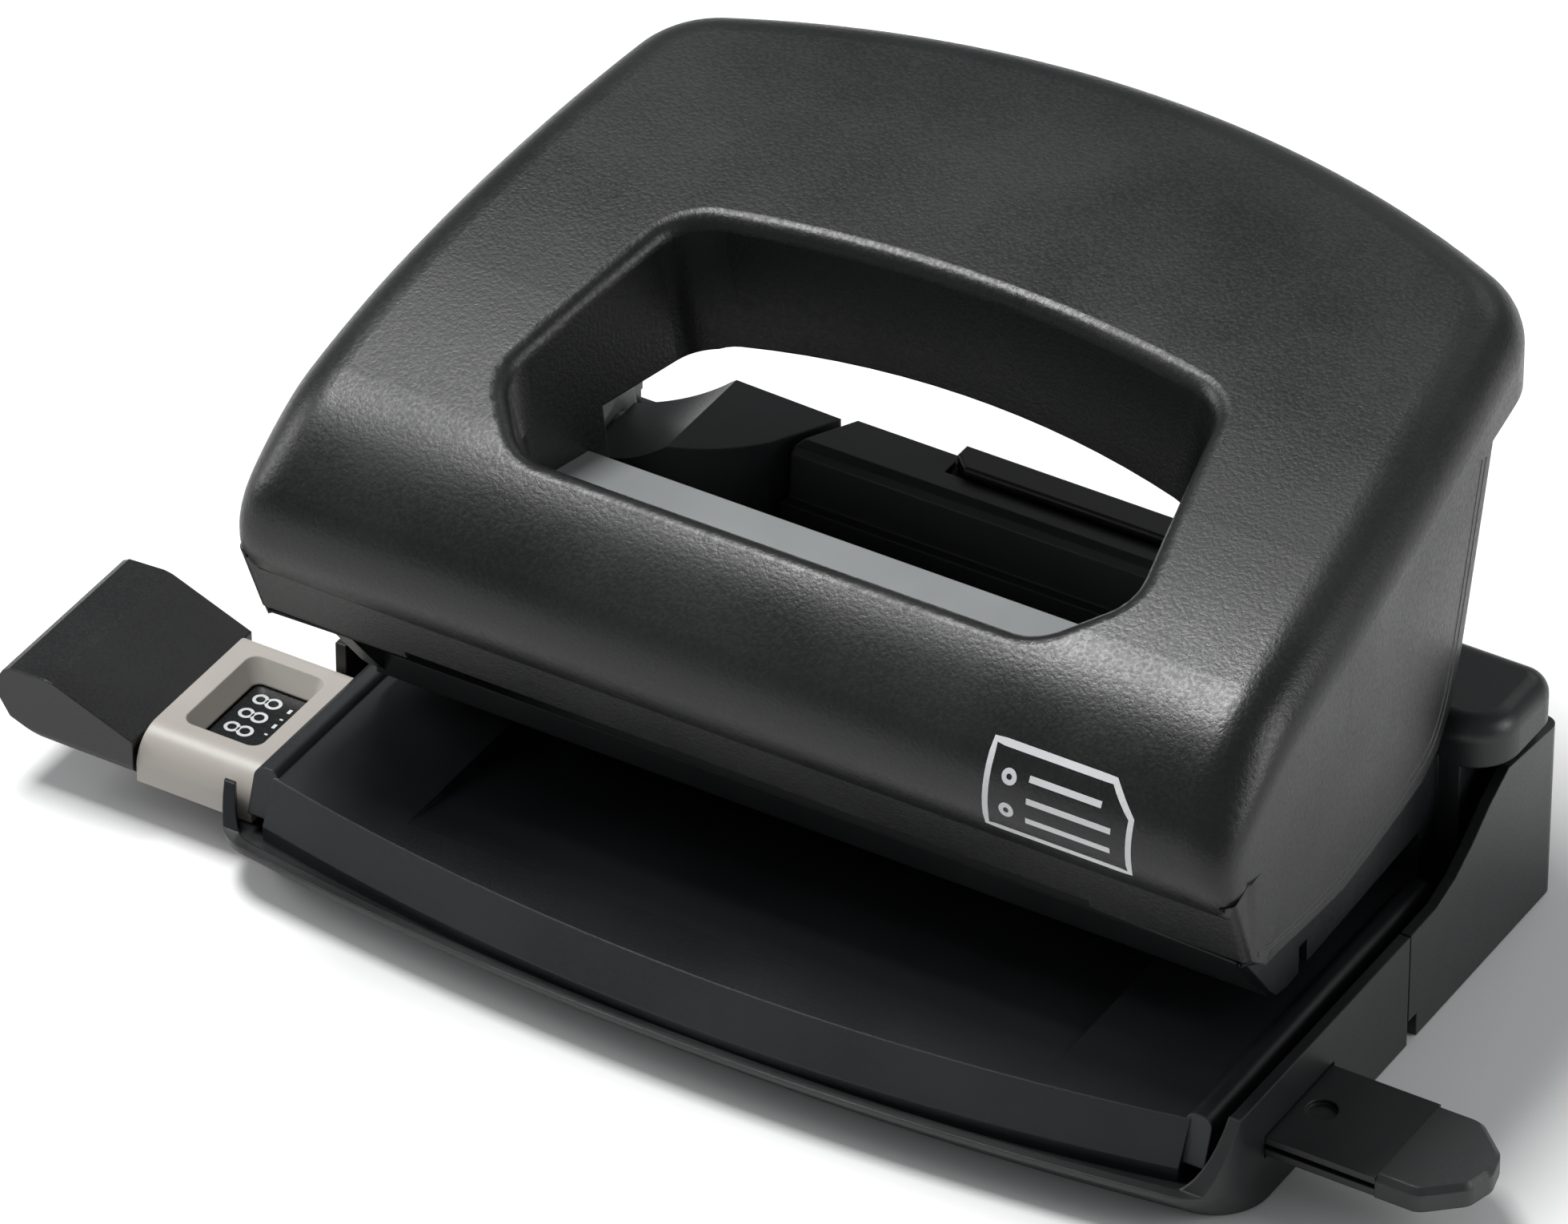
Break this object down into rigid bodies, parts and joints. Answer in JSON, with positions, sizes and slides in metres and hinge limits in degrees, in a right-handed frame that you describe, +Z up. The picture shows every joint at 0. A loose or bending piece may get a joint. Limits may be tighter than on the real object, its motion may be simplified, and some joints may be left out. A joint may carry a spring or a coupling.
{
  "type": "two-hole desk punch",
  "caption": "Desk hole punch with a press handle that has a hand opening, a sliding paper guide with a format window, and a hinged chip door.",
  "frame": {"origin": "centre of the tray's underside, on the plane of symmetry", "axes": "+X along the line of the two holes, towards the guide bar's tongue; +Y from the paper side to the hinge; +Z up"},
  "size_m": [0.1625, 0.0911, 0.0653],
  "materials": {
    "handle_shell": "black, fine pebble texture, satin",
    "handle_frame": "light grey, satin",
    "handle_screws": "zinc plated",
    "punch_housing": "charcoal, satin",
    "deck": "charcoal, satin",
    "base_tray": "charcoal, satin",
    "chip_door": "charcoal, satin",
    "door_hinge_pins": "bright steel",
    "die_plates": "ground steel",
    "die_screws": "steel",
    "housing_screws": "zinc plated",
    "rear_cover": "charcoal, satin",
    "hinge_cover_left": "charcoal, satin",
    "hinge_cover_right": "charcoal, satin",
    "tray_latch": "black, satin",
    "latch_spring": "spring steel",
    "hinge_axle": "ground steel",
    "axle_washers": "steel",
    "guide_bush_left": "dark grey",
    "guide_bush_right": "dark grey",
    "punch_pin_left": "hardened steel",
    "punch_pin_right": "hardened steel",
    "pin_retainer_left": "dark spring steel",
    "pin_retainer_right": "dark spring steel",
    "return_spring_left": "spring steel",
    "return_spring_right": "spring steel",
    "guide_bar": "charcoal, satin",
    "format_strip": "black printed strip",
    "bar_end_cap": "dark grey, satin",
    "guide_stop": "black, satin",
    "window_frame": "warm light grey, satin",
    "detent_spring": "spring steel"
  },
  "bodies": {
    "base": {"base_tray": "base_tray", "deck": "deck", "die_plates": "die_plates", "die_screws": "die_screws", "punch_housing": "punch_housing", "housing_screws": "housing_screws", "rear_cover": "rear_cover", "hinge_cover_left": "hinge_cover_left", "hinge_cover_right": "hinge_cover_right", "hinge_axle": "hinge_axle", "axle_washers": "axle_washers", "guide_bush_left": "guide_bush_left", "guide_bush_right": "guide_bush_right", "window_frame": "window_frame", "detent_spring": "detent_spring", "door_hinge_pins": "door_hinge_pins"},
    "handle": {"handle_shell": "handle_shell", "handle_frame": "handle_frame", "handle_screws": "handle_screws"},
    "pin_left": {"punch_pin_left": "punch_pin_left", "pin_retainer_left": "pin_retainer_left", "return_spring_left": "return_spring_left"},
    "pin_right": {"punch_pin_right": "punch_pin_right", "pin_retainer_right": "pin_retainer_right", "return_spring_right": "return_spring_right"},
    "paper_guide": {"guide_bar": "guide_bar", "guide_stop": "guide_stop", "format_strip": "format_strip", "bar_end_cap": "bar_end_cap"},
    "door": {"chip_door": "chip_door"},
    "latch": {"tray_latch": "tray_latch", "latch_spring": "latch_spring"}
  },
  "joints": [
    {"name": "handle_press", "type": "hinge", "parent": "base", "child": "handle", "pos_m": [0, 0.026, 0.0234], "axis": [1, 0, 0], "range_deg": [0, 17], "stiffness_Nm_per_rad": 4, "springref_deg": -6.88},
    {"name": "punch_left", "type": "slide", "parent": "base", "child": "pin_left", "axis": [0, 0, -1], "range_m": [0, 0.0062], "deforming": ["return_spring_left"]},
    {"name": "punch_right", "type": "slide", "parent": "base", "child": "pin_right", "axis": [0, 0, -1], "range_m": [0, 0.0062], "deforming": ["return_spring_right"]},
    {"name": "guide_slide", "type": "slide", "parent": "base", "child": "paper_guide", "axis": [-1, 0, 0], "range_m": [0, 0.08]},
    {"name": "door_hinge", "type": "hinge", "parent": "base", "child": "door", "pos_m": [0, 0.0074, 0.0016], "axis": [-1, 0, 0], "range_deg": [0, 75]},
    {"name": "latch_slide", "type": "slide", "parent": "base", "child": "latch", "axis": [0, 1, 0], "range_m": [0, 0.0025], "stiffness_N_per_m": 200, "springref_m": -0.001}
  ],
  "couplings": [
    {"joint": "punch_left", "follows": "handle_press", "m_per_rad": 0.0203},
    {"joint": "punch_right", "follows": "handle_press", "m_per_rad": 0.0203}
  ]
}
